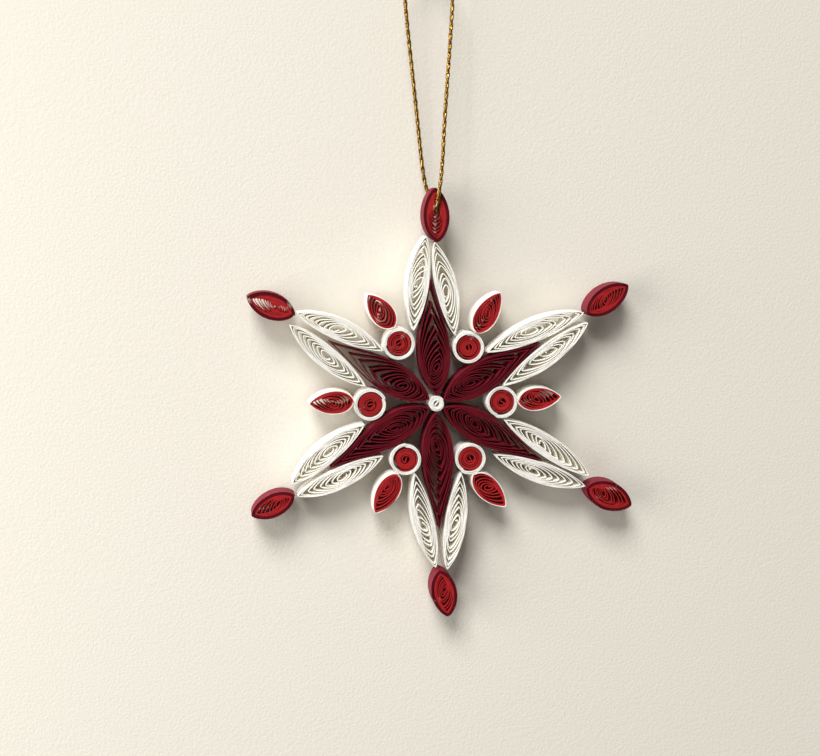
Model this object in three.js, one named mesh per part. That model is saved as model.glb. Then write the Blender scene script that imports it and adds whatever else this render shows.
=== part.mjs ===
// A quilled paper snowflake: pinched and round coils of paper strip, glued edge to edge round a
// tight white bead, hung upright on a loop of gold cord. Millimetres, +Z up, front towards -Y.
import * as THREE from 'three';

// Paper
const stripWidth = 5;
const paperThickness = 0.22;
const glueGap = 0.1;

// Centre bead, a tight coil with the strip's inner end across its hole
const beadDiameter = 3.7;
const beadHoleLength = 1;
const beadHoleWidth = 0.34;

// Six burgundy petals round the bead
const petalLength = 27.5;
const petalWidth = 8;

// Twelve slender white leaves, two along each petal's tip
const leafLength = 23.2;
const leafWidth = 5.3;
const leafBow = 0.6;

// Six tip eyes, a red coil in a burgundy wrap
const tipLength = 11.8;
const tipWidth = 6.2;
const tipWrap = 0.85;

// Six round coils between the petals, a tight red coil in a white rim
const discCoreDiameter = 5.6;
const discRim = 0.85;
const discHoleLength = 1;
const discHoleWidth = 0.5;

// Six small buds outside the round coils, a red coil in a white wrap
const budLength = 10.4;
const budWidth = 5.8;
const budWrap = 0.42;

// Hanging cord and the eye that it passes through in the top tip
const cordDiameter = 1;
const knotGap = 0.35;
const eyeClearance = 0.5;
const eyeLength = 5.6;
const cordRise = 0.6;
const knotDiameter = 2.8;
const knotHeight = 2.6;
const knotNeck = 1.7;
const knotTails = 3.4;

// How round an end is: a half is a round end and one is a sharp pinch
const petalEnds = { base: 0.82, tip: 1.5 };
const leafEnds = { base: 0.9, tip: 0.85 };
const tipEnds = { base: 0.66, tip: 0.72 };
const budEnds = { base: 0.58, tip: 0.8 };

// Where the turns gather, as a share of the length from the base, and how they lean there
const petalCore = { at: 0.3, size: 0.16, turns: 6, steps: 8, lean: 4 };
const leafCore = { at: 0.47, size: 0.24, turns: 4, steps: 8, lean: 9 };
const tipCore = { at: 0.45, size: 0.3, turns: 3, steps: 6, lean: 6 };
const budCore = { at: 0.45, size: 0.28, turns: 3, steps: 6, lean: 6 };
const eyeCore = { at: 0.62, turns: 3, steps: 8, lean: 0 };

// The six arms, clockwise from the top, and the gaps that follow them
const armNames = ['top', 'upper_right', 'lower_right', 'bottom', 'lower_left', 'upper_left'];
const gapNames = ['one', 'three', 'five', 'seven', 'nine', 'eleven'].map((hour) => `${hour}_o_clock`);
const sideNames = { 1: 'anticlockwise', [-1]: 'clockwise' };
const fullCircle = 360;
const quarterCircle = fullCircle / 4;
const armCount = armNames.length;
const armPitch = fullCircle / armCount;
const topBearing = quarterCircle;

// How far each hand-glued piece leans from its arm or gap, in degrees anticlockwise
const petalLeans = [1.6, -1.5, -0.4, 0.5, -1.4, -1.9];
const spineLeans = [1.1, -2.1, 0.6, 0.6, -1, -2.6];
const leftLeafLeans = [-9.5, -10.6, -5.9, -9.9, -8, -12];
const rightLeafLeans = [12, 5, 9.2, 11.8, 8, 5];
const tipLeans = [0.5, 2.3, 5.1, 8.3, -7.9, 6.7];
const budLeans = [-4, 2.4, 12.3, -2.8, -0.4, 6];

// Slit between the two leaves of each arm
const leafSlits = [0.1, 0.4, 0.3, 1, 0.8, 0.9];

// How far each round coil, and the base of each tip eye and bud, sits to the left of its line
const discShifts = [-0.3, 0, 0, 0, 0, 0.2];
const tipShifts = [-1.4, 0.7, -1.2, -0.2, 1.3, -0.9];
const budShifts = [0.1, 0.3, -1.1, 0.2, -0.7, -0.5];

// How far each round coil stops short of the bottom of its notch
const discLifts = [0, 0, 0, 0, 0.4, 0.4];

// How much longer or wider than its fellows each hand-rolled coil came out
const petalTrims = [0, -0.9, 0, 0.9, -0.4, -0.1];
const leftLeafTrims = [-1.2, 1.7, 2, 0.5, -1.1, -0.5];
const rightLeafTrims = [-1, 1.8, 0.6, 0.5, -1.4, -1.2];
const tipTrims = [0.4, 0, 0.2, -0.3, -1, -0.4];
const tipSwells = [0, 0, 0.8, 0.1, -0.6, 0];
const budTrims = [0.4, -0.1, 0.6, 0.2, -0.1, -0.7];

// A turn takes this much more room at a pinched end than along its sides
const pinchRoom = 2;

// Where a strip's outer end is glued down, in turns past the base: halfway along one side
const gluedEnd = 0.25;

// Facets of the round pieces, and steps of an outermost turn
const roundSides = 14;
const holeSides = 6;
const outerSteps = 12;
const cordSides = 8;
const cordSteps = 52;
const knotSteps = 5;

// How finely a piece is slid to its seat, and a coil is fitted in its wrap
const slideStep = 0.0001;
const fitStep = 0.01;

// Paper and cord colours
const burgundy = { color: 0x6e0f1e, roughness: 0.75, metalness: 0 };
const red = { color: 0xa8222a, roughness: 0.75, metalness: 0 };
const white = { color: 0xf1eee6, roughness: 0.8, metalness: 0 };
const gold = { color: 0xa87a22, roughness: 0.35, metalness: 0.8 };

const fullTurn = 2 * Math.PI;
const snowflake = new THREE.Group();
const flake = new THREE.Group();
snowflake.add(flake);

// Half width of a pinched coil at a share of its length, as a share of its widest half width
function fullness(share, ends) {
  const widest = ends.base / (ends.base + ends.tip);
  return (share / widest) ** ends.base * ((1 - share) / (1 - widest)) ** ends.tip;
}

// A low arch over a coil's length: nothing at its two ends and one halfway
function arch(share) {
  return 1 - (2 * share - 1) ** 2;
}

// A point on a pinched outline: the angle is zero at the base and half a turn at the tip
function outlinePoint(coil, angle) {
  const share = (1 - Math.cos(angle)) / 2;
  const side = Math.sin(angle) < 0 ? 1 : -1;
  const halfWidth = coil.width / 2 * fullness(share, coil.ends);
  return new THREE.Vector2(coil.length * share, side * halfWidth + coil.bow * arch(share));
}

// The closed outline of a pinched coil, anticlockwise from its base
function outlineOf(coil) {
  const points = [];
  for (let step = 0; step < outerSteps; step += 1) {
    points.push(outlinePoint(coil, fullTurn * step / outerSteps));
  }
  return points;
}

// A round outline about the origin
function circleOf(diameter, sides) {
  const points = [];
  for (let side = 0; side < sides; side += 1) {
    const angle = fullTurn * side / sides;
    points.push(new THREE.Vector2(Math.cos(angle), Math.sin(angle)).multiplyScalar(diameter / 2));
  }
  return points;
}

// A round outline stretched to a slot's length and width, with its centre moved across it
function slotOf(length, width, across) {
  return circleOf(1, holeSides).map((point) => {
    return new THREE.Vector2(point.x * width + across, point.y * length);
  });
}

// The path one distance to the left of a path, with mitred corners
function inset(points, distance, closed) {
  const last = points.length - 1;
  return points.map((point, index) => {
    const before = points[index > 0 || !closed ? Math.max(index - 1, 0) : last];
    const after = points[index < last || !closed ? Math.min(index + 1, last) : 0];
    const into = point.clone().sub(before).normalize();
    const out = after.clone().sub(point).normalize();
    const start = into.lengthSq() > 0 ? into : out;
    const end = out.lengthSq() > 0 ? out : into;
    const normals = new THREE.Vector2(-start.y - end.y, start.x + end.x);
    return normals.multiplyScalar(distance / (1 + start.dot(end))).add(point);
  });
}

// The outer edge of a coiled strip, from its core out to its glued end halfway along one side
function coilEdge(coil) {
  const { core } = coil;
  const points = [];
  const innerSteps = (core.turns - 1) * core.steps;
  const lastTurn = innerSteps + outerSteps;
  const layer = paperThickness + glueGap;
  const lastWidth = 1 - 2 * layer / coil.width;
  const lastLength = 1 - 2 * pinchRoom * layer / coil.length;
  const centre = new THREE.Vector2(coil.length * core.at, coil.bow * arch(core.at));
  for (let step = 0; step <= lastTurn; step += 1) {
    const inner = Math.min(step / innerSteps, 1);
    const outer = Math.max(step - innerSteps, 0) / outerSteps;
    const widthShare = core.width + (lastWidth - core.width) * inner + (1 - lastWidth) * outer;
    const lengthShare = core.length + (lastLength - core.length) * inner + (1 - lastLength) * outer;
    const angle = fullTurn * (Math.min(step, innerSteps) / core.steps + outer + gluedEnd);
    const point = outlinePoint(coil, angle).sub(centre);
    point.set(point.x * lengthShare, point.y * widthShare);
    point.rotateAround(new THREE.Vector2(), THREE.MathUtils.degToRad(core.lean * (1 - widthShare)));
    points.push(point.add(centre));
  }
  return points;
}

// The section of a coiled strip, one paper thickness between its two edges
function coilSection(coil) {
  const edge = coilEdge(coil);
  return new THREE.Shape([...edge, ...inset(edge, paperThickness, false).reverse()]);
}

// A section with holes cut through it
function pierced(outline, holes) {
  const shape = new THREE.Shape(outline);
  shape.holes = holes.map((hole) => new THREE.Path(hole));
  return shape;
}

// A solid as deep as the strip is wide, standing across Y
function stripSolid(shape) {
  const geometry = new THREE.ExtrudeGeometry(shape, { depth: stripWidth, bevelEnabled: false });
  return geometry.translate(0, 0, -stripWidth / 2).rotateX(Math.PI / 2);
}

// A point at a distance from the centre, on a bearing anticlockwise from +X
function polar(distance, bearing) {
  const angle = THREE.MathUtils.degToRad(bearing);
  return new THREE.Vector2(Math.cos(angle), Math.sin(angle)).multiplyScalar(distance);
}

// An outline turned to its bearing and moved to its place on the snowflake
function placed(outline, bearing, place) {
  const angle = THREE.MathUtils.degToRad(bearing);
  return outline.map((point) => point.clone().rotateAround(new THREE.Vector2(), angle).add(place));
}

// Distance from a point to the stretch between two others
function distanceToEdge(point, start, end) {
  const along = end.clone().sub(start);
  const share = THREE.MathUtils.clamp(point.clone().sub(start).dot(along) / along.lengthSq(), 0, 1);
  return point.distanceTo(start.clone().addScaledVector(along, share));
}

// The least distance from one outline's corners to the other's edges
function cornersToEdges(corners, outline) {
  let least = Infinity;
  for (const corner of corners) {
    outline.forEach((start, index) => {
      const end = outline[(index + 1) % outline.length];
      least = Math.min(least, distanceToEdge(corner, start, end));
    });
  }
  return least;
}

// The room between an outline and its neighbours
function room(outline, neighbours) {
  const gaps = neighbours.map((other) => {
    return Math.min(cornersToEdges(outline, other), cornersToEdges(other, outline));
  });
  return Math.min(...gaps);
}

// Slides an outline inwards along a line through the snowflake until only the glue is left
function seat(outline, bearing, line, shift, neighbours) {
  const inwards = polar(-1, line);
  const side = polar(shift, line + quarterCircle);
  const farOut = petalLength + leafLength + tipLength + budLength;
  const clearAt = (slid) => {
    const place = side.clone().addScaledVector(inwards, slid - farOut);
    return room(placed(outline, bearing, place), neighbours) > glueGap;
  };
  const stride = glueGap;
  let slid = 0;
  while (clearAt(slid + stride)) {
    slid += stride;
  }
  for (let nudge = stride / 2; nudge > slideStep; nudge /= 2) {
    if (clearAt(slid + nudge)) {
      slid += nudge;
    }
  }
  return side.addScaledVector(inwards, slid - farOut);
}

// Adds a solid to the snowflake as a named piece, turned and moved in the plane of the flake
function addPiece(name, geometry, paper, bearing, place, over) {
  const mesh = new THREE.Mesh(geometry, new THREE.MeshStandardMaterial(paper));
  mesh.name = name;
  mesh.position.set(place.x, 0, place.y);
  mesh.rotation.order = 'YXZ';
  mesh.rotation.y = -THREE.MathUtils.degToRad(bearing);
  mesh.rotation.x = over ? Math.PI : 0;
  flake.add(mesh);
}

// A pinched coil: its overall size, ends and core, with the innermost turn as shares of the size
function pinchedCoil(length, width, bow, ends, core) {
  const shares = { length: core.size, width: core.size, ...core };
  return { length, width, bow, ends, core: shares };
}

// An outline turned over about its own length
function turnedOver(outline) {
  return outline.map((point) => new THREE.Vector2(point.x, -point.y)).reverse();
}

// The largest coil of the same ends that fits in a wrap, and how far its base moves in
function coilInside(hole, ends, core) {
  const base = Math.min(...hole.map((point) => point.x));
  const tip = Math.max(...hole.map((point) => point.x));
  const halfWidth = Math.max(...hole.map((point) => Math.abs(point.y)));
  let slack = glueGap;
  for (;;) {
    const length = tip - base - 2 * pinchRoom * slack;
    const coil = pinchedCoil(length, 2 * (halfWidth - slack), 0, ends, core);
    const start = new THREE.Vector2(base + pinchRoom * slack, 0);
    if (room(placed(coilEdge(coil).slice(-outerSteps), 0, start), [hole]) > glueGap) {
      return { coil, start };
    }
    slack += fitStep;
  }
}

// Bearings of the arms and of the gaps after them
const armBearings = armNames.map((name, arm) => topBearing - armPitch * arm);
const gapBearings = armBearings.map((bearing) => bearing - armPitch / 2);
const petalBearings = armBearings.map((bearing, arm) => bearing + petalLeans[arm]);
const spineBearings = armBearings.map((bearing, arm) => bearing + spineLeans[arm]);
const previousArm = (arm) => (arm + armCount - 1) % armCount;
const nextArm = (arm) => (arm + 1) % armCount;

// Centre bead
const beadOutline = circleOf(beadDiameter, roundSides);
const beadHoles = [-1, 1].map((side) => {
  return slotOf(beadHoleLength, beadHoleWidth, side * (beadHoleWidth + paperThickness) / 2);
});
addPiece('centre_bead', stripSolid(pierced(beadOutline, beadHoles)), white, 0, new THREE.Vector2(), false);

// Petals, pushed in until they meet the bead or their neighbours
function petalStart(arm, petalOutline) {
  const bearing = petalBearings[arm];
  const sideAngles = [nextArm(arm), previousArm(arm)].map((other) => {
    const between = THREE.MathUtils.euclideanModulo(petalBearings[other] - bearing, fullCircle);
    return THREE.MathUtils.degToRad(Math.min(between, fullCircle - between) / 2);
  });
  const starts = petalOutline.map((point) => {
    const angle = sideAngles[point.y < 0 ? 0 : 1];
    return (Math.abs(point.y) * Math.cos(angle) + glueGap / 2) / Math.sin(angle) - point.x;
  });
  return Math.max(beadDiameter / 2 + glueGap, ...starts);
}
const petals = armNames.map((name, arm) => {
  const coil = pinchedCoil(petalLength + petalTrims[arm], petalWidth, 0, petalEnds, petalCore);
  const outline = outlineOf(coil);
  const bearing = petalBearings[arm];
  const place = polar(petalStart(arm, outline), bearing);
  addPiece(`petal_${name}`, stripSolid(coilSection(coil)), burgundy, bearing, place, arm % 2 === 1);
  return placed(outline, bearing, place);
});

// Round coils, pushed into the notches between the petals
const discDiameter = discCoreDiameter + 2 * (discRim + glueGap);
const discOutline = circleOf(discDiameter, roundSides);
const discCoreOutline = circleOf(discCoreDiameter, roundSides);
const discHole = circleOf(discDiameter - 2 * discRim, roundSides);
const discCoreGeometry = stripSolid(pierced(discCoreOutline, [slotOf(discHoleLength, discHoleWidth, 0)]));
const discRimGeometry = stripSolid(pierced(discOutline, [discHole]));
const discBearings = gapNames.map((name, gap) => {
  return gapBearings[gap] + (petalLeans[gap] + petalLeans[nextArm(gap)]) / 2;
});
const discPlaces = gapNames.map((name, gap) => {
  const bearing = discBearings[gap];
  const notch = seat(discOutline, bearing, bearing, discShifts[gap], [petals[gap], petals[nextArm(gap)]]);
  const place = notch.add(polar(discLifts[gap], bearing));
  addPiece(`disc_core_${name}`, discCoreGeometry, red, bearing, place, false);
  addPiece(`disc_rim_${name}`, discRimGeometry, white, bearing, place, false);
  return place;
});
const discs = discPlaces.map((place, gap) => placed(discOutline, discBearings[gap], place));

// Leaves, each laid along its side of the spine and pushed in against the petal and the round coil
function addLeaf(arm, side, lean, trim) {
  const coil = pinchedCoil(leafLength + trim, leafWidth, leafBow, leafEnds, leafCore);
  const outline = side > 0 ? outlineOf(coil) : turnedOver(outlineOf(coil));
  const line = spineBearings[arm];
  const bearing = armBearings[arm] + lean;
  const across = placed(outline, bearing - line, new THREE.Vector2()).map((point) => point.y * side);
  const shift = side * (leafSlits[arm] / 2 - Math.min(...across));
  const neighbours = [petals[arm], discs[arm], discs[previousArm(arm)]];
  const place = seat(outline, bearing, line, shift, neighbours);
  const name = `leaf_${armNames[arm]}_${sideNames[side]}`;
  addPiece(name, stripSolid(coilSection(coil)), white, bearing, place, side < 0);
  return placed(outline, bearing, place);
}
const leaves = armNames.map((name, arm) => {
  return [
    addLeaf(arm, 1, leftLeafLeans[arm], leftLeafTrims[arm]),
    addLeaf(arm, -1, rightLeafLeans[arm], rightLeafTrims[arm]),
  ];
});

// A wrap and the coil inside it
function wrappedCoil(length, width, ends, wrap, core) {
  const outline = outlineOf({ length, width, ends, bow: 0 });
  const hole = inset(outline, wrap, true);
  const { coil, start } = coilInside(hole, ends, core);
  const wrapGeometry = stripSolid(pierced(outline, [hole]));
  const coreGeometry = stripSolid(coilSection(coil)).translate(start.x, 0, 0);
  return { outline, wrapGeometry, coreGeometry, coil, start };
}

// Tip eyes, pushed in against the two leaves of their arm
const eyeWidth = cordDiameter + 2 * eyeClearance + 2 * paperThickness;
const tipInnerWidth = tipWidth - 2 * (tipWrap + glueGap);
const tipInnerLength = tipLength - 2 * pinchRoom * tipWrap;
const hangingCore = { ...eyeCore, width: eyeWidth / tipInnerWidth, length: eyeLength / tipInnerLength };
const tips = armNames.map((name, arm) => {
  const length = tipLength + tipTrims[arm];
  const width = tipWidth + tipSwells[arm];
  return wrappedCoil(length, width, tipEnds, tipWrap, arm === 0 ? hangingCore : tipCore);
});
const tipPlaces = armNames.map((name, arm) => {
  const tip = tips[arm];
  const bearing = armBearings[arm] + tipLeans[arm];
  const place = seat(tip.outline, bearing, spineBearings[arm], tipShifts[arm], leaves[arm]);
  addPiece(`tip_core_${name}`, tip.coreGeometry, red, bearing, place, arm % 2 === 1);
  addPiece(`tip_wrap_${name}`, tip.wrapGeometry, burgundy, bearing, place, arm % 2 === 1);
  return place;
});

// Buds, pushed in against the round coils
gapNames.forEach((name, gap) => {
  const bud = wrappedCoil(budLength + budTrims[gap], budWidth, budEnds, budWrap, budCore);
  const bearing = gapBearings[gap] + budLeans[gap];
  const neighbours = [discs[gap], leaves[gap][1], leaves[nextArm(gap)][0]];
  const place = seat(bud.outline, bearing, discBearings[gap], budShifts[gap], neighbours);
  addPiece(`bud_core_${name}`, bud.coreGeometry, red, bearing, place, gap % 2 === 1);
  addPiece(`bud_wrap_${name}`, bud.wrapGeometry, white, bearing, place, gap % 2 === 1);
});

// Hanging cord: out of the knot, down behind the top tip, through its eye and up in front again
const eyeAlong = tips[0].start.x + tips[0].coil.length * eyeCore.at;
const eye = polar(eyeAlong, armBearings[0] + tipLeans[0]).add(tipPlaces[0]);
const cordRoute = [
  [-0.8, 0, 58.5], [-0.9, 0, 56.8], [-2, 0, 54.4], [-4.2, 0, 51.8], [-5.6, 0.1, 48.6], [-5.6, 0.2, 45],
  [-5, 0.7, 38], [-4.2, 1.2, 30], [-3.5, 1.7, 23], [-2.9, 2.2, 17], [-2.3, 2.7, 11], [-1.6, 3.1, 6],
  [-0.7, 3.2, 2.5], [-0.2, 2.8, 0.2], [0, 1.6, -1.2], [0, 0, -1.6], [0, -1.6, -1.2], [0.1, -2.8, 0.2],
  [0.5, -3.2, 2.5], [1.1, -3.1, 6], [1.7, -2.7, 11], [2.2, -2.2, 17], [2.8, -1.7, 23], [3.5, -1.2, 30],
  [4.3, -0.7, 38], [4.9, -0.2, 45], [4.8, -0.1, 48.6], [3.4, 0, 51.8], [1.4, 0, 54.4], [0.4, 0, 56.8],
  [0.4, 0, 58.5],
].map(([x, y, z]) => new THREE.Vector3(eye.x + x, y, eye.y + cordRise + z));
const cordSection = new THREE.Shape(circleOf(cordDiameter, cordSides));
const cordGeometry = new THREE.ExtrudeGeometry(cordSection, {
  steps: cordSteps,
  extrudePath: new THREE.CatmullRomCurve3(cordRoute),
});
const cord = new THREE.Mesh(cordGeometry, new THREE.MeshStandardMaterial(gold));
cord.name = 'hanging_cord';
snowflake.add(cord);

// Knot that joins the cord's two ends, with its cut tails standing out of it side by side
const neckAngle = Math.acos(knotNeck / knotDiameter);
const knotBulb = new THREE.EllipseCurve(0, 0, knotDiameter / 2, knotHeight / 2, -Math.PI / 2, neckAngle);
const knotTop = knotHeight / 2 + knotTails;
const knotProfile = [
  ...knotBulb.getPoints(knotSteps),
  new THREE.Vector2(knotNeck / 2, knotTop),
  new THREE.Vector2(0, knotTop),
];
const knotGeometry = new THREE.LatheGeometry(knotProfile, cordSides).rotateX(Math.PI / 2);
const knot = new THREE.Mesh(knotGeometry, new THREE.MeshStandardMaterial(gold));
knot.name = 'cord_knot';
const knotPlace = cordRoute[0].clone().lerp(cordRoute.at(-1), 0.5);
knot.position.set(knotPlace.x, knotPlace.y, knotPlace.z + knotGap + knotHeight / 2);
snowflake.add(knot);

// The middle of the paper flake's box is the origin
const middle = new THREE.Box3().setFromObject(flake, true).getCenter(new THREE.Vector3());
snowflake.position.sub(middle);

export default snowflake;
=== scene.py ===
import math
import random
from dataclasses import dataclass, replace

import bmesh
import bpy
import numpy as np
from mathutils import Matrix, Vector


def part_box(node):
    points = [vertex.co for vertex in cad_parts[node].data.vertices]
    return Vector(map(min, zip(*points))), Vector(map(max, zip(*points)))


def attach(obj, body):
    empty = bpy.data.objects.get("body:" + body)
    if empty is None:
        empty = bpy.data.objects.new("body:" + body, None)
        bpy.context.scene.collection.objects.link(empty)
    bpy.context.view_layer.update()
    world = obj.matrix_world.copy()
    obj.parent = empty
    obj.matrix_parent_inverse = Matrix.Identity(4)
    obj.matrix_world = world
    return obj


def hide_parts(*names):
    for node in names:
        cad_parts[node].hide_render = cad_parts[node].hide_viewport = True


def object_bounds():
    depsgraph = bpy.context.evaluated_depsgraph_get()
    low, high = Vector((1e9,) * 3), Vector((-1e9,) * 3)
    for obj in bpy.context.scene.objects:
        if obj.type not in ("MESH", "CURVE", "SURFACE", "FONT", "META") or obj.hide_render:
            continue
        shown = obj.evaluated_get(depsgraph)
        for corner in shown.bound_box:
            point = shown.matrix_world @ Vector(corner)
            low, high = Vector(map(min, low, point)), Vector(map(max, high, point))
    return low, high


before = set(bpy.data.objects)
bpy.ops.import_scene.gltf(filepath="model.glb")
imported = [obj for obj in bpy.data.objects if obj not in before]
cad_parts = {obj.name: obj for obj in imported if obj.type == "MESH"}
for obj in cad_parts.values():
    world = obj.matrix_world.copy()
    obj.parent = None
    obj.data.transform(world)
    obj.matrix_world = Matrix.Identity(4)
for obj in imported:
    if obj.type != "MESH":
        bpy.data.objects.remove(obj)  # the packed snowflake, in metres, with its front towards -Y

cad_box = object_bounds()

# The paper's and the cord's lengths are in millimetres, and MM brings them to the frame's metres
MM = 0.001
FULL_TURN = 2 * math.pi
ARMS = ["top", "upper_right", "lower_right", "bottom", "lower_left", "upper_left"]
GAPS = [f"{hour}_o_clock" for hour in ("one", "three", "five", "seven", "nine", "eleven")]
SIDES = ["anticlockwise", "clockwise"]

# Paper strip: its thickness, and the pitch of turns pressed together
PAPER = 0.18
TIP_PAPER = 0.14
BUD_PAPER = 0.17
LAYER = 0.2
THIN_LAYER = 0.185

# How far a strip's edges wander and over what lengths, and how far one piece stands before another
EDGE_WANDER = 0.08
WANDER_LENGTHS = (23.0, 11.0, 5.3)
PIECE_STEP = 0.06

# A strip: the corners of its section, the divisor that keeps its mitres from growing too long, and
# the angle from which its edges are sharp
SECTION = 4
LEAST_BEND = 0.5
SHARP_ANGLE = math.radians(38)

# How round the ends of each kind of pinched coil are, base first
PETAL_ENDS = (0.82, 1.5)
LEAF_ENDS = (0.9, 0.85)
TIP_ENDS = (0.66, 0.72)
BUD_ENDS = (0.58, 0.8)

# Points of an outline, and rays about a core: how many all round, the step and the margin of the
# close ones at the corners, and the digits kept of their angles
OUTLINE_POINTS = 400
WIDE_RAYS = 120
CLOSE_RAY = 0.01
CORNER_MARGIN = 0.07
RAY_DIGITS = 4

# A pressed turn: trials of its radius, the stretches that it is laid in, how many parts a turn has of
# which one is searched on either side of a stretch, the least share of a layer that it steps in, and
# the radius below which that step isn't asked for
TRIALS = 11
STRETCHES = 4
SEARCHED_PART = 3
LAYER_SHARE = 0.9
LEAST_RADIUS = 0.05

# Points along a strip: those of a round turn, the kink that may be left out, and the longest step
ROUND_POINTS = 44
KINK = 0.008
LONGEST_STEP = 1.6

# The least length, and the least square of a length, that anything is divided by
TINY_LENGTH = 1e-9
TINY_SQUARE = 1e-12

# The order in which a coil's tip, base and sides are listed
TIP, BASE, SIDE = range(3)

# Unevenness of the turns: its size as a share of the way in, and its lengths in turns, in that order
RIPPLE = 0.03
RIPPLE_TURNS = np.array([[2.3], [1.9], [2.9]])

# A round coil: the share of its turns that stand apart, and the bar that its inner end makes across
# the hole, as shares of that end's radius ahead and aside
APART = 0.4
BAR = ((0.93, 0.3), (0.72, 0.42), (0.3, 0.2), (-0.75, -0.12))


def flat_points(node):
    """The corners of a CAD node seen from the front, in the plane of the flake."""
    return np.array([(v.co.x, v.co.z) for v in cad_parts[node].data.vertices]) / MM


def middle_of(node):
    """The middle of a CAD node's box, in the plane of the flake."""
    low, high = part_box(node)
    return np.array([low.x + high.x, low.z + high.z]) / 2 / MM


def radius_of(node):
    """The radius of a round CAD node."""
    low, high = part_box(node)
    return (high.x - low.x) / 2 / MM


def new_object(name, data):
    """A new object in the scene."""
    made = bpy.data.objects.new(name, data)
    bpy.context.scene.collection.objects.link(made)
    return made


CENTRE = middle_of("centre_bead")
FRONT, BACK = (corner.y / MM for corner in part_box("centre_bead"))


# Pinched outlines

@dataclass
class Lens:
    """A pinched outline in the flake's plane: its base, its two directions and its size."""
    base: np.ndarray
    along: np.ndarray
    across: np.ndarray
    length: float
    half_width: float
    bow: float
    ends: tuple

    def outline(self, samples):
        """Points anticlockwise from the base, as (along, across)."""
        angle = np.linspace(0, FULL_TURN, samples, endpoint=False)
        share = (1 - np.cos(angle)) / 2
        side = np.where(angle > math.pi, 1, -1)
        return np.stack([self.length * share, self.across_at(share, side)], axis=1)

    def across_at(self, share, side):
        """How far across the outline lies at a share of the length."""
        widest = self.ends[0] / sum(self.ends)
        fullness = (share / widest) ** self.ends[0]
        fullness = fullness * ((1 - share) / (1 - widest)) ** self.ends[1]
        return side * self.half_width * fullness + self.bow * (1 - (2 * share - 1) ** 2)

    def placed(self, local):
        """Points given as (along, across), in the flake's plane."""
        return self.base + local[:, :1] * self.along + local[:, 1:] * self.across


def lens_of(node, ends):
    """The outline of a pinched CAD node: its ends are its farthest corners."""
    points = flat_points(node)
    apart = np.linalg.norm(points[:, None] - points[None], axis=2)
    pair = np.unravel_index(apart.argmax(), apart.shape)
    base, tip = sorted((points[index] for index in pair), key=lambda point: math.dist(point, CENTRE))
    length = math.dist(base, tip)
    along = (tip - base) / length
    across = np.array([-along[1], along[0]])
    offsets = (points - base) @ across
    half_width = (offsets.max() - offsets.min()) / 2
    bow = (offsets.max() + offsets.min()) / 2
    return Lens(base, along, across, length, half_width, bow, ends)


# Turns of a strip

@dataclass
class Core:
    """How a pinched coil's turns gather.

    The place along is a share of the length, the place aside and the eye are in millimetres, and the
    lean of the innermost turn is in degrees, all anticlockwise. The spread says how evenly the turns
    leave the tip, the base and the sides: below one they start far apart. The growth says how late
    the lean comes in, and the ease how far the inner turns round off. The tight turns lie on one
    another at the sides only, and the layer is the least pitch anywhere.
    """
    turns: int
    at: float
    aside: float
    lean: float
    spread: tuple
    eye: tuple
    growth: float = 2.0
    ease: float = 0.4
    tight: int = 0
    layer: float = LAYER


def distances(points, path):
    """The distance of each point to the nearest stretch of a path."""
    start = path[:-1]
    run = path[1:] - start
    offset = points[:, None] - start[None]
    share = (offset * run[None]).sum(2) / np.maximum((run * run).sum(1), TINY_SQUARE)
    nearest = offset - np.clip(share, 0, 1)[..., None] * run[None]
    return np.sqrt((nearest ** 2).sum(2).min(1))


def polar(points, rays):
    """The radius of a ring about the origin along each ray."""
    angle = np.arctan2(points[:, 1], points[:, 0]) % FULL_TURN
    order = np.argsort(angle)
    return np.interp(rays % FULL_TURN, angle[order], np.hypot(*points.T)[order], period=FULL_TURN)


def pressed(spokes, radius, outside, layer):
    """Radii drawn in so that each point keeps one layer from the turn outside it."""
    clear = distances(spokes * radius[:, None], outside) >= layer
    low, high = np.where(clear, radius, 0), radius
    for _ in range(TRIALS):
        middle = (low + high) / 2
        fits = distances(spokes * middle[:, None], outside) >= layer
        low, high = np.where(fits, middle, low), np.where(fits, high, middle)
    return np.where(clear, radius, low)


def turned_rays(corners, lean):
    """Angles from the base's corner once round, close together where corners lie and lean to."""
    close = []
    for angle in corners:
        low, high = sorted((angle, angle + lean))
        close += [*np.arange(low - CORNER_MARGIN, high + CORNER_MARGIN, CLOSE_RAY), angle]
    wide = np.linspace(0, FULL_TURN, WIDE_RAYS, endpoint=False)
    turned = (np.concatenate([wide, close]) - corners[BASE]) % FULL_TURN
    return np.unique(np.round(turned, RAY_DIGITS))


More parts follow.
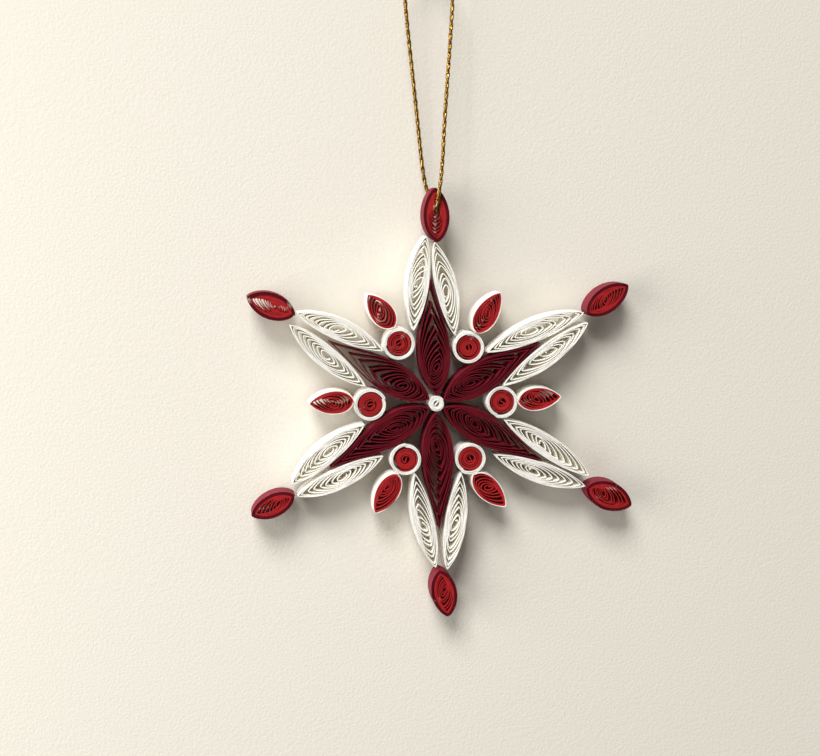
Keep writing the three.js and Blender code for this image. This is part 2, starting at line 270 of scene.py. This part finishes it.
def pinched_turns(lens, core, chance, wraps=0, wrap_layer=LAYER):
    """The middle lines of a wrapping strip and of the strip it holds, from the glued end in.

    The turns of the wrapping strip come first, along the outline. Each further turn takes the shape
    of the space inside them about the core, smaller and leaning further as it comes in, and is
    pressed in where it would come closer than one layer to the turn outside it.
    """
    slim = replace(lens, half_width=lens.half_width - PAPER / 2)
    centre = np.array([lens.length * core.at, core.aside])
    outer = slim.outline(OUTLINE_POINTS) - centre
    corners = [math.atan2(point[1], point[0]) for point in outer[[OUTLINE_POINTS // 2, 0]]]
    lean = math.radians(core.lean)
    phases = np.array([chance.uniform(0, FULL_TURN) for _ in RIPPLE_TURNS])
    turned = turned_rays(corners, lean)
    rays = corners[BASE] + turned
    progress = turned / FULL_TURN
    spokes = np.stack([np.cos(rays), np.sin(rays)], axis=1)
    count = len(rays)
    searched = count // SEARCHED_PART
    last = core.turns - 1

    def shares(turn, reach):
        """How much of its reach a turn keeps towards the tip, the base and the sides."""
        even = np.clip(turn, 0, last) / last
        ripple = np.sin(even * FULL_TURN * core.turns / RIPPLE_TURNS + phases[:, None])
        even = np.clip(even + RIPPLE * ripple * np.sin(even * math.pi), 0, 1)
        ends = []
        for end in (TIP, BASE):
            ends.append(1 - (1 - core.eye[end] / reach[end]) * even[end] ** core.spread[end])
        held = np.minimum(turn, core.tight).clip(0) * core.layer / reach[SIDE]
        rest = 1 - core.eye[SIDE] / reach[SIDE] - core.tight * core.layer / reach[SIDE]
        inside = np.maximum(even[SIDE] * last - core.tight, 0) / (last - core.tight)
        return *ends, 1 - held - rest * inside ** core.spread[SIDE]

    def wished(turn, rays, around):
        """The radius that a turn would take along some rays inside the ring around it."""
        sides = polar(around, np.array([1, -1]) * math.pi / 2)
        reach = [*polar(around, np.array(corners)), sides.mean()]
        tip_share, base_share, side_share = shares(turn, reach)
        inward = np.clip(turn / last, 0, 1)
        direction = rays - lean * inward ** core.growth
        across = np.sin(direction) / side_share
        along = np.cos(direction)
        along = along / np.where(along > 0, tip_share, base_share)
        angle = np.arctan2(across, along)
        pinched = polar(around, angle)
        far = np.where(along > 0, reach[TIP], reach[BASE])
        oval = 1 / np.hypot(np.cos(angle) / far, np.sin(angle) / reach[SIDE])
        eased = core.ease * np.sqrt(inward)
        return ((1 - eased) * pinched + eased * oval) / np.hypot(along, across)

    line = np.zeros(((wraps + core.turns) * count, 2))
    around = outer
    for turn in range(wraps + core.turns):
        before = (turn - 1) * count
        layer = wrap_layer if turn < wraps else core.layer
        if 0 < turn <= wraps:
            around = line[before:before + count]
        for stretch in np.array_split(np.arange(count), STRETCHES):
            if turn == 0:
                radius = polar(outer, rays[stretch]) - layer * progress[stretch]
            else:
                radius = wished(turn - wraps - 1 + progress[stretch], rays[stretch], around)
                room = np.linalg.norm(line[before + stretch], axis=1) - LAYER_SHARE * layer
                radius = np.minimum(radius, np.maximum(room, LEAST_RADIUS))
                outside = line[max(before + stretch[0] - searched, 0):before + stretch[-1] + searched]
                radius = pressed(spokes[stretch], radius, outside, layer)
            line[turn * count + stretch] = spokes[stretch] * radius[:, None]
    placed = lens.placed(line + centre)
    return placed[:wraps * count + 1], placed[wraps * count:]


def round_turns(centre, outer, inner, chance, slack, barred):
    """The middle line of a round coil, from its glued end in to its hole, with some turns apart."""
    room = outer - inner - PAPER
    count = int(room / (LAYER + slack * APART))
    pitches = np.array([LAYER + slack * (chance.random() < APART) for _ in range(count)])
    pitches = pitches * room / pitches.sum()
    radii = outer - PAPER / 2 - np.concatenate([[0], np.cumsum(pitches)])
    turned = np.linspace(0, count, count * ROUND_POINTS)
    angle = chance.uniform(0, FULL_TURN) + turned * FULL_TURN
    radius = np.interp(turned, np.arange(len(radii)), radii)
    line = np.stack([np.cos(angle), np.sin(angle)], axis=1) * radius[:, None]
    if barred:
        end = line[-1]
        side = np.array([-end[1], end[0]])
        line = np.concatenate([line, [end * ahead + side * aside for ahead, aside in BAR]])
    return line + centre


def thinned(line):
    """A line with only the points that its shape needs."""
    kept = [0]
    while kept[-1] < len(line) - 1:
        start = kept[-1]
        reach = start + 1
        while reach + 1 < len(line):
            chord = line[reach + 1] - line[start]
            length = math.hypot(*chord)
            between = line[start + 1:reach + 1] - line[start]
            off = np.abs(between[:, 0] * chord[1] - between[:, 1] * chord[0]) / max(length, TINY_LENGTH)
            if off.max() > KINK or length > LONGEST_STEP:
                break
            reach += 1
        kept.append(reach)
    return line[kept]


# Strip solids

def lengths_along(path):
    """How far each point of a path lies along it."""
    return np.concatenate([[0], np.cumsum(np.linalg.norm(np.diff(path, axis=0), axis=1))])


def edge_offsets(line):
    """Sideways unit steps along a line, longer at its corners so that the strip keeps its thickness."""
    run = np.diff(line, axis=0)
    run = run / np.maximum(np.linalg.norm(run, axis=1, keepdims=True), TINY_LENGTH)
    into = np.concatenate([run[:1], run])
    out = np.concatenate([run, run[-1:]])
    normal = np.stack([-(into + out)[:, 1], (into + out)[:, 0]], axis=1)
    bend = 1 + (into * out).sum(1, keepdims=True)
    return normal / np.maximum(bend, LEAST_BEND)


def wander(along, chance):
    """A slow wave along a strip, mostly within one either way."""
    wave = np.zeros_like(along)
    for length in WANDER_LENGTHS:
        wave += np.sin(along * FULL_TURN / length + chance.uniform(0, FULL_TURN)) / 2
    return wave


def strip(name, line, chance, thickness=PAPER, sunk=0.0):
    """A paper strip on edge along a line in the flake's plane, its front sunk by some depth."""
    line = thinned(line)
    count = len(line)
    along = lengths_along(line)
    sideways = edge_offsets(line) * thickness / 2
    step = chance.uniform(-PIECE_STEP, PIECE_STEP)
    front = FRONT + sunk + step + EDGE_WANDER * wander(along, chance)
    back = BACK + step + EDGE_WANDER * wander(along, chance)
    corners = []
    for edge, depth in ((line + sideways, front), (line - sideways, front),
                        (line - sideways, back), (line + sideways, back)):
        corners.append(np.stack([edge[:, 0], depth, edge[:, 1]], axis=1))
    verts = np.stack(corners, axis=1).reshape(-1, 3) * MM
    faces = [tuple(range(SECTION))]
    for here in range(0, SECTION * (count - 1), SECTION):
        there = here + SECTION
        for corner in range(SECTION):
            following = (corner + 1) % SECTION
            faces.append((here + corner, there + corner, there + following, here + following))
    last = SECTION * (count - 1)
    faces.append(tuple(reversed(range(last, last + SECTION))))
    mesh = bpy.data.meshes.new(name)
    mesh.from_pydata(verts.tolist(), [], faces)
    shaped = bmesh.new()
    shaped.from_mesh(mesh)
    bmesh.ops.recalc_face_normals(shaped, faces=shaped.faces)
    shaped.to_mesh(mesh)
    shaped.free()
    mesh.shade_smooth()
    mesh.set_sharp_from_angle(angle=SHARP_ANGLE)
    return new_object(name, mesh)


# Materials

@dataclass
class Paper:
    """A quilling paper: the colours of its cut edges and its faces, and how uneven and soft it is. Where
    the faces are lighter than the edges, part of that is painted sheen and side light.
    """
    edge: tuple
    wall: tuple
    roughness: float
    uneven: float
    soft: float = 0.0


# The burgundy's faces are lighter and pinker than its cut edges: partly the paper's own darker cut
# edges, partly painted sheen and painted side light on the faces. The red's faces are a little darker
# than its edges.
PAPERS = {
    "burgundy": Paper((0.115, 0.0015, 0.007), (0.22, 0.012, 0.03), roughness=0.6, uneven=0.2),
    "red": Paper((0.44, 0.018, 0.02), (0.36, 0.014, 0.016), roughness=0.6, uneven=0.15),
    "white": Paper((0.94, 0.92, 0.855), (0.93, 0.91, 0.845), roughness=0.75, uneven=0.05, soft=1.0),
}
PAPER_SHINE = 0.2
SOFT_RADIUS = (1, 1, 1)
SOFT_DEPTH = 0.00015

# Textures: scales are per metre and bumps' distances in metres
NOISE_SPAN = {"From_Min": 0.3, "From_Max": 0.7}
DYE = {"Scale": 620.0, "Detail": 3.0}
FIBRE = {"Scale": 5200.0, "Detail": 4.0, "Roughness": 0.65}
FIBRE_BUMP = {"Strength": 0.25, "Distance": 0.00004}

# The cord's yarn: its glints run from a dull and dark place in the noise to a polished bright one
GOLD_METAL = 0.85
GLINT = {"Scale": 2600.0, "Detail": 3.0, "Roughness": 0.7}
GLINT_BUMP = {"Strength": 0.3, "Distance": 0.0001}
GLINT_COLOURS = ((0.42, (0.09, 0.036, 0.004, 1)), (0.68, (0.85, 0.52, 0.12, 1)))
DULL, POLISHED = 0.34, 0.18

WALL_COLOUR = (0.755, 0.725, 0.65, 1)
WALL_ROUGHNESS = 0.9
GRAIN = {"Scale": 1600.0, "Detail": 5.0}
GRAIN_BUMP = {"Strength": 0.3, "Distance": 0.0003}


def socketed(nodes, kind, **values):
    """A shader node with its inputs set by name."""
    node = nodes.new(kind)
    for key, value in values.items():
        node.inputs[key.replace("_", " ")].default_value = value
    return node


def new_material(name):
    """A new material with its nodes, its links and its shader."""
    material = bpy.data.materials.new(name)
    material.use_nodes = True
    nodes = material.node_tree.nodes
    return material, nodes, material.node_tree.links, nodes["Principled BSDF"]


def noise_on(nodes, links, place, values):
    """A noise texture in the object's own place."""
    noise = socketed(nodes, "ShaderNodeTexNoise", **values)
    links.new(place.outputs["Object"], noise.inputs["Vector"])
    return noise


def bumped(nodes, links, shader, height, values):
    """Gives a shader the relief of a noise texture."""
    bump = socketed(nodes, "ShaderNodeBump", **values)
    links.new(height.outputs["Fac"], bump.inputs["Height"])
    links.new(bump.outputs["Normal"], shader.inputs["Normal"])


def paper_material(name, paper):
    """Quilling paper: one colour on its cut edges and one on its faces, the face colour carrying painted
    sheen and side light where it is lighter, with fibre and uneven dye.
    """
    material, nodes, links, shader = new_material(name)
    shader.inputs["Roughness"].default_value = paper.roughness
    shader.inputs["Specular IOR Level"].default_value = PAPER_SHINE
    shader.inputs["Subsurface Weight"].default_value = paper.soft
    shader.inputs["Subsurface Radius"].default_value = SOFT_RADIUS
    shader.inputs["Subsurface Scale"].default_value = SOFT_DEPTH
    place = nodes.new("ShaderNodeTexCoord")
    # Which way a surface faces picks the edge colour or the face colour, so a lighter face colour paints
    # sheen and side light on the strip's faces.
    split = nodes.new("ShaderNodeSeparateXYZ")
    links.new(place.outputs["Normal"], split.inputs[0])
    facing = nodes.new("ShaderNodeMath")
    facing.operation = "ABSOLUTE"
    links.new(split.outputs["Y"], facing.inputs[0])
    colour = nodes.new("ShaderNodeMix")
    colour.data_type = "RGBA"
    colour.inputs["A"].default_value = (*paper.wall, 1)
    colour.inputs["B"].default_value = (*paper.edge, 1)
    links.new(facing.outputs[0], colour.inputs["Factor"])
    dye = noise_on(nodes, links, place, DYE)
    shade = socketed(nodes, "ShaderNodeMapRange", **NOISE_SPAN,
                     To_Min=1 - paper.uneven, To_Max=1 + paper.uneven / 2)
    links.new(dye.outputs["Fac"], shade.inputs["Value"])
    tint = nodes.new("ShaderNodeMix")
    tint.data_type = "RGBA"
    tint.blend_type = "MULTIPLY"
    tint.inputs["Factor"].default_value = 1
    links.new(colour.outputs["Result"], tint.inputs["A"])
    links.new(shade.outputs["Result"], tint.inputs["B"])
    links.new(tint.outputs["Result"], shader.inputs["Base Color"])
    bumped(nodes, links, shader, noise_on(nodes, links, place, FIBRE), FIBRE_BUMP)
    return material


def cord_material():
    """Metallic gold yarn: bright filaments over a dark amber core."""
    material, nodes, links, shader = new_material("gold_yarn")
    shader.inputs["Metallic"].default_value = GOLD_METAL
    glint = noise_on(nodes, links, nodes.new("ShaderNodeTexCoord"), GLINT)
    ramp = nodes.new("ShaderNodeValToRGB")
    for element, (position, colour) in zip(ramp.color_ramp.elements, GLINT_COLOURS):
        element.position = position
        element.color = colour
    links.new(glint.outputs["Fac"], ramp.inputs["Fac"])
    links.new(ramp.outputs["Color"], shader.inputs["Base Color"])
    rough = socketed(nodes, "ShaderNodeMapRange", **NOISE_SPAN, To_Min=DULL, To_Max=POLISHED)
    links.new(glint.outputs["Fac"], rough.inputs["Value"])
    links.new(rough.outputs["Result"], shader.inputs["Roughness"])
    bumped(nodes, links, shader, glint, GLINT_BUMP)
    return material


def wall_material():
    """Warm white plaster, seen from its front only."""
    material, nodes, links, shader = new_material("plaster_wall")
    shader.inputs["Base Color"].default_value = WALL_COLOUR
    shader.inputs["Roughness"].default_value = WALL_ROUGHNESS
    grain = noise_on(nodes, links, nodes.new("ShaderNodeTexCoord"), GRAIN)
    bumped(nodes, links, shader, grain, GRAIN_BUMP)
    clear = nodes.new("ShaderNodeBsdfTransparent")
    side = nodes.new("ShaderNodeNewGeometry")
    mix = nodes.new("ShaderNodeMixShader")
    links.new(side.outputs["Backfacing"], mix.inputs[0])
    links.new(shader.outputs[0], mix.inputs[1])
    links.new(clear.outputs[0], mix.inputs[2])
    links.new(mix.outputs[0], nodes["Material Output"].inputs["Surface"])
    return material


# The finish of each slot
FINISHES = {}
for colour, paper in PAPERS.items():
    FINISHES[f"{colour}_paper"] = paper_material(f"{colour}_quilling_paper", paper)
FINISHES["gold_cord"] = cord_material()


def dress(piece, slot, node):
    """Gives a piece its finish and lets it stand for its CAD node."""
    piece.data.materials.append(FINISHES[slot])
    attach(piece, "root")
    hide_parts(node)
    return piece


# The cord's route about the middle of its eye, and where that lies under the knot

CORD_DIAMETER = 1.0
CORD_ROUTE = [
    (-0.8, 0, 58.5), (-0.9, 0, 56.8), (-2, 0, 54.4), (-4.2, 0, 51.8), (-5.6, 0.1, 48.6), (-5.6, 0.2, 45),
    (-5, 0.7, 38), (-4.2, 1.2, 30), (-3.5, 1.7, 23), (-2.9, 2.2, 17), (-2.3, 2.7, 11), (-1.6, 3.1, 6),
    (-0.7, 3.2, 2.5), (-0.2, 2.8, 0.2), (0, 1.6, -1.2), (0, 0, -1.6), (0, -1.6, -1.2), (0.1, -2.8, 0.2),
    (0.5, -3.2, 2.5), (1.1, -3.1, 6), (1.7, -2.7, 11), (2.2, -2.2, 17), (2.8, -1.7, 23), (3.5, -1.2, 30),
    (4.3, -0.7, 38), (4.9, -0.2, 45), (4.8, -0.1, 48.6), (3.4, 0, 51.8), (1.4, 0, 54.4), (0.4, 0, 56.8),
    (0.4, 0, 58.5),
]
KNOT_GAP = 0.35
knot_low, knot_high = (np.array(corner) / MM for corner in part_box("cord_knot"))
knot_middle = (knot_low + knot_high) / 2
route_ends = (np.array(CORD_ROUTE[0]) + np.array(CORD_ROUTE[-1])) / 2
route_middle = np.array([knot_middle[0], 0, knot_low[2] - KNOT_GAP]) - route_ends


# The paper coils

# Turns, place along, place aside and lean of each core, and the leaves' places and leans by side
PETALS = {
    "top": (10, 0.23, -0.2, -40),
    "upper_right": (11, 0.27, 0.2, -28),
    "lower_right": (11, 0.3, 0.2, -28),
    "bottom": (11, 0.28, -0.3, 22),
    "lower_left": (11, 0.34, 0, -28),
    "upper_left": (9, 0.26, 0.3, 40),
}
LEAVES = {
    "top": ((0.5, 0.45, -45), (0.46, 0.1, -25)),
    "upper_right": ((0.45, 0.9, -12), (0.55, 0, -25)),
    "lower_right": ((0.44, -0.2, -45), (0.43, -0.7, -18)),
    "bottom": ((0.53, 0.3, -25), (0.55, -0.9, 32)),
    "lower_left": ((0.47, 0.3, 18), (0.47, -0.3, -5)),
    "upper_left": ((0.51, 0.2, -10), (0.56, -0.3, 35)),
}
TIPS = {
    "upper_right": (8, 0.47, 0.1, 50),
    "lower_right": (8, 0.36, 0.3, -50),
    "bottom": (8, 0.42, 0.3, -45),
    "lower_left": (7, 0.38, 0, 45),
    "upper_left": (10, 0.4, -0.1, -55),
}
BUDS = {
    "one_o_clock": (8, 0.48, -0.1, 30),
    "three_o_clock": (7, 0.42, 0, -50),
    "five_o_clock": (7, 0.45, 0.3, 55),
    "seven_o_clock": (8, 0.36, -0.6, -25),
    "nine_o_clock": (7, 0.45, 0.2, -45),
    "eleven_o_clock": (6, 0.5, 0, -50),
}

# Petals, two of which open wider towards their tips
PETAL_SPREAD = (0.6, 0.9, 1.0)
OPEN_SPREAD = (0.47, 0.9, 1.0)
OPEN_PETALS = ("top", "upper_left")
PETAL_EYE = (0.75, 0.65, 0.3)
PETAL_EASE = 0.6
PETAL_TIGHT = 4

LEAF_TURNS = 8
LEAF_SPREAD = (0.9, 0.9, 1.0)
LEAF_EYE = (1.1, 1.0, 0.55)
LEAF_GROWTH = 3.5
LEAF_TIGHT = 3

# Red cores of the tips and the buds
ROLL_SPREAD = (1.0, 1.0, 1.0)
ROLL_EYE = (0.65, 0.55, 0.25)
TIP_GROWTH = 1.4
BUD_GROWTH = 1.3

# The core round the cord, with its eye's place from the middle of the cord's route
CORD_TURNS = 7
CORD_EYE = (1.5, 1.4, 0.75)
CORD_SEAT = (0.05, -0.6)
CORD_LEAN = 10

# Round coils: their holes, the looseness and the depth of the red ones, and the gap to their rims
DISC_HOLE = 0.66
DISC_SLACK = 0.2
DISC_SUNK = 0.15
RIM_GAP = 0.05
BEAD_HOLE = 0.66


@dataclass
class Wrap:
    """A strip wrapped round a pinched coil: its slot, its turns, their pitch and the paper it holds."""
    slot: str
    turns: int
    layer: float
    core_paper: float


TIP_WRAP = Wrap("burgundy_paper", turns=3, layer=0.28, core_paper=TIP_PAPER)
BUD_WRAP = Wrap("white_paper", turns=1, layer=0.22, core_paper=BUD_PAPER)


def chance_of(node):
    """A seeded source of the small differences that a hand makes in one coil."""
    return random.Random(node)


def coil(node, slot, ends, core):
    """A pinched coil in place of a CAD node."""
    chance = chance_of(node)
    _, line = pinched_turns(lens_of(node, ends), core, chance)
    dress(strip(f"{node}_strip", line, chance), slot, node)


def wrapped_coil(kind, place, ends, core, wrap):
    """A pinched coil and the turns of a second strip round it, in place of two CAD nodes."""
    chance = chance_of(f"{kind}_{place}")
    wrap_node, core_node = f"{kind}_wrap_{place}", f"{kind}_core_{place}"
    lens = lens_of(wrap_node, ends)
    wrap_line, core_line = pinched_turns(lens, core, chance, wrap.turns, wrap.layer)
    dress(strip(f"{wrap_node}_strip", wrap_line, chance), wrap.slot, wrap_node)
    dress(strip(f"{core_node}_strip", core_line, chance, wrap.core_paper), "red_paper", core_node)


def round_coil(node, slot, hole, slack=0.0, sunk=0.0, barred=False):
    """A tight round coil in place of a CAD node."""
    chance = chance_of(node)
    line = round_turns(middle_of(node), radius_of(node), hole, chance, slack, barred)
    dress(strip(f"{node}_strip", line, chance, sunk=sunk), slot, node)


def tip_core(arm):
    """The core of a tip. The eye of the top one lies round the cord that passes through it."""
    if arm != "top":
        return Core(*TIPS[arm], ROLL_SPREAD, ROLL_EYE, TIP_GROWTH, layer=THIN_LAYER)
    lens = lens_of("tip_wrap_top", TIP_ENDS)
    seat = route_middle[[0, 2]] + CORD_SEAT - lens.base
    at, aside = seat @ lens.along / lens.length, seat @ lens.across
    return Core(CORD_TURNS, at, aside, CORD_LEAN, ROLL_SPREAD, CORD_EYE, layer=THIN_LAYER)


for arm in ARMS:
    spread = OPEN_SPREAD if arm in OPEN_PETALS else PETAL_SPREAD
    petal_core = Core(*PETALS[arm], spread, PETAL_EYE, ease=PETAL_EASE, tight=PETAL_TIGHT)
    coil(f"petal_{arm}", "burgundy_paper", PETAL_ENDS, petal_core)
    for side, place in zip(SIDES, LEAVES[arm]):
        leaf_core = Core(LEAF_TURNS, *place, LEAF_SPREAD, LEAF_EYE, LEAF_GROWTH, tight=LEAF_TIGHT)
        coil(f"leaf_{arm}_{side}", "white_paper", LEAF_ENDS, leaf_core)
    wrapped_coil("tip", arm, TIP_ENDS, tip_core(arm), TIP_WRAP)
for gap in GAPS:
    round_coil(f"disc_core_{gap}", "red_paper", DISC_HOLE, DISC_SLACK, DISC_SUNK, barred=True)
    round_coil(f"disc_rim_{gap}", "white_paper", radius_of(f"disc_core_{gap}") + RIM_GAP)
    bud_core = Core(*BUDS[gap], ROLL_SPREAD, ROLL_EYE, BUD_GROWTH, layer=THIN_LAYER)
    wrapped_coil("bud", gap, BUD_ENDS, bud_core, BUD_WRAP)
round_coil("centre_bead", "white_paper", BEAD_HOLE, barred=True)


# Hanging cord

PLIES = 2
PLY_SIDES = 10
PLY_OFFSET = 0.13
PLY_RADIUS = 0.355
TWIST = 4.3
STEPS_A_TWIST = 14
YARN_STEP = TWIST / STEPS_A_TWIST


def smooth_path(points):
    """A Catmull-Rom curve through points, sampled about one step of the yarn apart."""
    points = np.array(points, float)
    padded = np.concatenate([2 * points[:1] - points[1:2], points, 2 * points[-1:] - points[-2:-1]])
    path = []
    for before, start, end, after in zip(padded, padded[1:], padded[2:], padded[3:]):
        count = max(int(math.dist(start, end) / YARN_STEP), 2)
        for share in np.linspace(0, 1, count, endpoint=False):
            bend = 2 * before - 5 * start + 4 * end - after
            turn = 3 * start - before - 3 * end + after
            path.append(start + 0.5 * share * (end - before + share * (bend + share * turn)))
    return np.array([*path, points[-1]])


def twisted_tubes(path):
    """Vertices and faces of the twisted plies along a path."""
    runs = np.gradient(path, axis=0)
    runs /= np.linalg.norm(runs, axis=1, keepdims=True)
    side = np.cross(runs[0], (0.0, 1.0, 0.0))
    sideways = []
    for run in runs:
        side = side - run * (side @ run)
        side = side / np.linalg.norm(side)
        sideways.append(side)
    sideways = np.array(sideways)
    upwards = np.cross(runs, sideways)
    along = lengths_along(path)
    verts, faces = [], []
    for ply in range(PLIES):
        turn = FULL_TURN * (along / TWIST + ply / PLIES)
        centre = path + PLY_OFFSET * (np.cos(turn)[:, None] * sideways + np.sin(turn)[:, None] * upwards)
        first = len(verts)
        for point in range(len(path)):
            for corner in range(PLY_SIDES):
                angle = FULL_TURN * corner / PLY_SIDES + turn[point]
                verts.append(centre[point] + PLY_RADIUS * (
                    math.cos(angle) * sideways[point] + math.sin(angle) * upwards[point]))
        for point in range(len(path) - 1):
            here = first + point * PLY_SIDES
            there = here + PLY_SIDES
            for corner in range(PLY_SIDES):
                following = (corner + 1) % PLY_SIDES
                faces.append((here + corner, here + following, there + following, there + corner))
        faces.append(tuple(reversed(range(first, first + PLY_SIDES))))
        faces.append(tuple(range(len(verts) - PLY_SIDES, len(verts))))
    return verts, faces


def yarn(name, paths):
    """A piece of twisted yarn along one or more paths."""
    verts, faces = [], []
    for path in paths:
        more, rings = twisted_tubes(path)
        faces += [tuple(len(verts) + corner for corner in face) for face in rings]
        verts += more
    mesh = bpy.data.meshes.new(name)
    mesh.from_pydata([tuple(vert * MM) for vert in verts], [], faces)
    mesh.shade_smooth()
    return new_object(name, mesh)


cord_path = smooth_path(np.array(CORD_ROUTE) + route_middle)
cord = dress(yarn("hanging_cord_yarn", [cord_path]), "gold_cord", "hanging_cord")


# The knot: turns round two tails that go on from the cord's ends

KNOT_RADIUS = 0.85
KNOT_TURNS = 2.3
KNOT_PITCH = 0.651
KNOT_START = 0.6
KNOT_POINTS = 60
CORD_APART = (CORD_ROUTE[-1][0] - CORD_ROUTE[0][0]) / 2
JOIN_GAP = 0.03

# One tail's way up from the knot's foot, and the other's is the same after half a turn
TAIL_ROUTE = [
    (CORD_APART, 0, JOIN_GAP - KNOT_GAP), (0.42, 0, 0.9), (0.42, 0.1, 2.6),
    (0.336, 0, 4.2), (0.462, 0, 5.4),
]
turned = np.linspace(0, KNOT_TURNS, KNOT_POINTS)
knot_turns = np.stack([
    KNOT_RADIUS * np.cos(turned * FULL_TURN),
    KNOT_RADIUS * np.sin(turned * FULL_TURN),
    KNOT_START + turned * KNOT_PITCH,
], axis=1)
knot_foot = np.array([knot_middle[0], knot_middle[1], knot_low[2]])
knot_paths = [knot_foot + knot_turns]
for side in (-1, 1):
    tail = [(side * x, side * y, z) for x, y, z in TAIL_ROUTE]
    knot_paths.append(knot_foot + smooth_path(tail))
knot = dress(yarn("cord_knot_yarn", knot_paths), "gold_cord", "cord_knot")


# Wall: it stands a little behind the flake's foot, and further behind its top

WALL_SIZE = 3000.0
CORD_TO_WALL = 2.0
FOOT_TO_WALL = 2.0
half = WALL_SIZE / 2
cord_back = cord_path[cord_path[:, 1].argmax()]
foot_depth, foot_height = BACK + FOOT_TO_WALL, cad_box[0][2] / MM
top_depth = cord_back[1] + CORD_DIAMETER / 2 + CORD_TO_WALL
wall_slope = (top_depth - foot_depth) / (cord_back[2] - foot_height)
wall_corners = []
for x, z in ((-half, -half), (half, -half), (half, half), (-half, half)):
    wall_corners.append(Vector((x, foot_depth + wall_slope * (z - foot_height), z)) * MM)
wall_mesh = bpy.data.meshes.new("wall")
wall_mesh.from_pydata(wall_corners, [], [(0, 1, 2, 3)])
wall_mesh.materials.append(wall_material())
wall = new_object("wall", wall_mesh)


# Light: distances and sizes of the lamps are in metres and their powers in watts

SKY_COLOUR = (1, 0.98, 0.94, 1)
SKY_STRENGTH = 0.15
KEY = {"direction": (-0.45, -1, 1.25), "distance": 4.0, "size": 1.8, "power": 175.0,
       "colour": (1, 0.98, 0.96)}
WINDOW = {"direction": (-1, -0.55, 0.1), "distance": 0.5, "size": 0.4, "power": 2.05,
          "colour": (1, 0.97, 0.93)}
bead = Vector((CENTRE[0] * MM, 0, CENTRE[1] * MM))


def lamp(name, direction, distance, size, power, colour):
    """A square soft lamp that looks at the bead from a direction."""
    data = bpy.data.lights.new(name, "AREA")
    data.energy = power
    data.size = size
    data.color = colour
    light = new_object(name, data)
    light.location = bead + Vector(direction).normalized() * distance
    light.rotation_euler = (bead - light.location).to_track_quat("-Z", "Y").to_euler()


world = bpy.data.worlds.new("studio")
bpy.context.scene.world = world
world.use_nodes = True
sky = world.node_tree.nodes["Background"]
sky.inputs["Color"].default_value = SKY_COLOUR
sky.inputs["Strength"].default_value = SKY_STRENGTH
lamp("key", **KEY)
lamp("window", **WINDOW)


# Camera: it stands to the left of the bead and above it, each by one share of its distance, the slant

PHOTO_WIDTH = 820
FOCAL_PIXELS = 1350
PIXELS_PER_MM = 4.26 / 0.95
SLANT = 0.165
AIM = (-6.07, 6.26)
ROLL = math.radians(1.2)
SENSOR_WIDTH = 36
NEAREST = 0.01
camera_reach = FOCAL_PIXELS / PIXELS_PER_MM
camera_data = bpy.data.cameras.new("camera")
camera = new_object("camera", camera_data)
bpy.context.scene.camera = camera
camera_data.sensor_width = SENSOR_WIDTH
camera_data.lens = FOCAL_PIXELS / PHOTO_WIDTH * SENSOR_WIDTH
camera_data.clip_start = NEAREST
spot = bead + Vector((-SLANT * camera_reach, FRONT - camera_reach, SLANT * camera_reach)) * MM
aim = bead + Vector((AIM[0], FRONT, AIM[1])) * MM
ahead = (aim - spot).normalized()
right = ahead.cross(Vector((0, 0, 1))).normalized()
up = right.cross(ahead)
rolled_right = math.cos(ROLL) * right - math.sin(ROLL) * up
rolled_up = math.sin(ROLL) * right + math.cos(ROLL) * up
facing = Matrix((rolled_right, rolled_up, -ahead)).transposed().to_4x4()
camera.matrix_world = Matrix.Translation(spot) @ facing

bpy.context.scene.view_settings.view_transform = "Standard"

# Light goes to and fro many times between white turns of paper
BOUNCES = 12
bpy.context.scene.cycles.diffuse_bounces = BOUNCES
